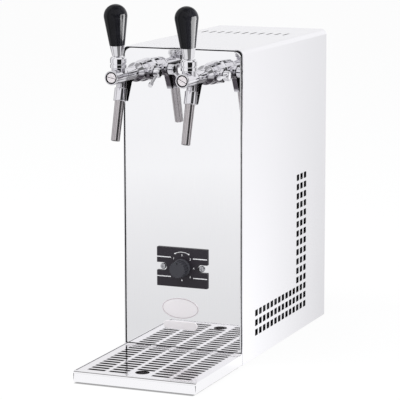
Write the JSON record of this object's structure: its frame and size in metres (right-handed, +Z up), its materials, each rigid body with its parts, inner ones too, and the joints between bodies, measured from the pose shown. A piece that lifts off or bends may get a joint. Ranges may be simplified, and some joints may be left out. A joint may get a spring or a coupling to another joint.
{
  "type": "portable beer dispenser",
  "caption": "Tall narrow steel countertop beer cooler with taps at the top front, a thermostat dial, side vents and a slotted drip tray.",
  "frame": {"origin": "on the floor, under the middle of the front panel's face", "axes": "+X to the right seen from the front, +Y from the front panel to the rear, +Z up"},
  "size_m": [0.175, 0.5283, 0.4939],
  "materials": {
    "cover_steel": "satin",
    "mirror_steel": "polished",
    "plain_steel": "satin",
    "tray_steel": "satin",
    "spout_steel": "satin",
    "screw_steel": "satin",
    "chrome": "polished",
    "handle_black": "gloss",
    "plate_black": "satin",
    "knob_grey": "matte",
    "plastic_black": "matte",
    "badge_white": "gloss",
    "plug_pale": "gloss",
    "rubber_black": "matte",
    "compressor_black": "satin",
    "fin_aluminium": "satin",
    "copper": "satin",
    "foam_grey": "matte",
    "tube_white": "satin",
    "pump_grey": "satin"
  },
  "bodies": {
    "casing": {"base_pan": "plain_steel", "outer_cover": "cover_steel", "front_panel": "mirror_steel", "edge_seal": "rubber_black", "rear_panel": "plain_steel", "inner_frame": "plain_steel", "rubber_feet": "rubber_black", "casing_screws": "screw_steel", "control_plate": "plate_black", "control_screws": "screw_steel", "thermostat_body": "plastic_black", "thermostat_bulb": "copper", "oval_badge": "badge_white", "small_badge": "badge_white", "left_tap_body": "chrome", "left_top_nut": "chrome", "left_front_plug": "plug_pale", "left_spout": "spout_steel", "left_rosette": "chrome", "left_shank": "chrome", "right_tap_body": "chrome", "right_top_nut": "chrome", "right_front_plug": "plug_pale", "right_spout": "spout_steel", "right_rosette": "chrome", "right_shank": "chrome", "panel_nuts": "screw_steel", "compressor": "compressor_black", "compressor_grommets": "rubber_black", "condenser": "fin_aluminium", "fan_shroud": "plastic_black", "fan_motor": "compressor_black", "filter_drier": "copper", "discharge_line": "copper", "liquid_line": "copper", "suction_line": "copper", "cooling_block": "fin_aluminium", "insulation_shell": "foam_grey", "beer_tubes": "tube_white", "hose_stems": "screw_steel", "power_inlet": "plastic_black", "switch_frame": "plastic_black", "air_pump": "pump_grey", "air_hose": "tube_white"},
    "knob": {"thermostat_knob": "knob_grey", "thermostat_shaft": "screw_steel"},
    "tray": {"drip_tray": "tray_steel"},
    "grid": {"drip_grid": "tray_steel"},
    "fan": {"fan_blade": "plastic_black"},
    "pump_rocker": {"switch_rocker": "plastic_black"},
    "left_handle": {"left_tap_lever": "chrome", "left_handle_grip": "handle_black"},
    "left_plunger": {"left_valve_plunger": "screw_steel"},
    "left_compensator": {"left_comp_lever": "chrome"},
    "left_cone": {"left_comp_cone": "tube_white"},
    "right_handle": {"right_tap_lever": "chrome", "right_handle_grip": "handle_black"},
    "right_plunger": {"right_valve_plunger": "screw_steel"},
    "right_compensator": {"right_comp_lever": "chrome"},
    "right_cone": {"right_comp_cone": "tube_white"}
  },
  "joints": [
    {"name": "left_handle_tip", "type": "hinge", "parent": "casing", "child": "left_handle", "pos_m": [-0.05, -0.095, 0.4168], "axis": [1, 0, 0], "range_deg": [0, 26]},
    {"name": "left_plunger_slide", "type": "slide", "parent": "casing", "child": "left_plunger", "axis": [0, 1, 0], "range_m": [0, 0.0072]},
    {"name": "left_compensator_turn", "type": "hinge", "parent": "casing", "child": "left_compensator", "pos_m": [-0.05, -0.0236, 0.397], "axis": [1, 0, 0], "range_deg": [-30, 60]},
    {"name": "left_cone_slide", "type": "slide", "parent": "casing", "child": "left_cone", "axis": [0, 1, 0], "range_m": [-0.0009, 0.00175]},
    {"name": "right_handle_tip", "type": "hinge", "parent": "casing", "child": "right_handle", "pos_m": [0.05, -0.095, 0.4168], "axis": [1, 0, 0], "range_deg": [0, 26]},
    {"name": "right_plunger_slide", "type": "slide", "parent": "casing", "child": "right_plunger", "axis": [0, 1, 0], "range_m": [0, 0.0072]},
    {"name": "right_compensator_turn", "type": "hinge", "parent": "casing", "child": "right_compensator", "pos_m": [0.05, -0.0236, 0.397], "axis": [1, 0, 0], "range_deg": [0, 90]},
    {"name": "right_cone_slide", "type": "slide", "parent": "casing", "child": "right_cone", "axis": [0, 1, 0], "range_m": [0, 0.0026]},
    {"name": "knob_turn", "type": "hinge", "parent": "casing", "child": "knob", "pos_m": [0, -0.01, 0.13], "axis": [0, 1, 0], "range_deg": [-45, 225]},
    {"name": "tray_slide", "type": "slide", "parent": "casing", "child": "tray", "axis": [0, -1, 0], "range_m": [0, 0.06]},
    {"name": "grid_lift", "type": "slide", "parent": "tray", "child": "grid", "axis": [0, 0, 1], "range_m": [0, 0.04]},
    {"name": "fan_spin", "type": "hinge", "parent": "casing", "child": "fan", "pos_m": [0, 0.2735, 0.12], "axis": [0, 1, 0], "continuous": true},
    {"name": "pump_rocker_tip", "type": "hinge", "parent": "casing", "child": "pump_rocker", "pos_m": [0, 0.3325, 0.22], "axis": [1, 0, 0], "range_deg": [0, 18]}
  ],
  "couplings": [
    {"joint": "left_plunger_slide", "follows": "left_handle_tip", "m_per_rad": 0.01543},
    {"joint": "left_cone_slide", "follows": "left_compensator_turn", "m_per_rad": 0.0016206},
    {"joint": "right_plunger_slide", "follows": "right_handle_tip", "m_per_rad": 0.01543},
    {"joint": "right_cone_slide", "follows": "right_compensator_turn", "m_per_rad": 0.0016206}
  ]
}
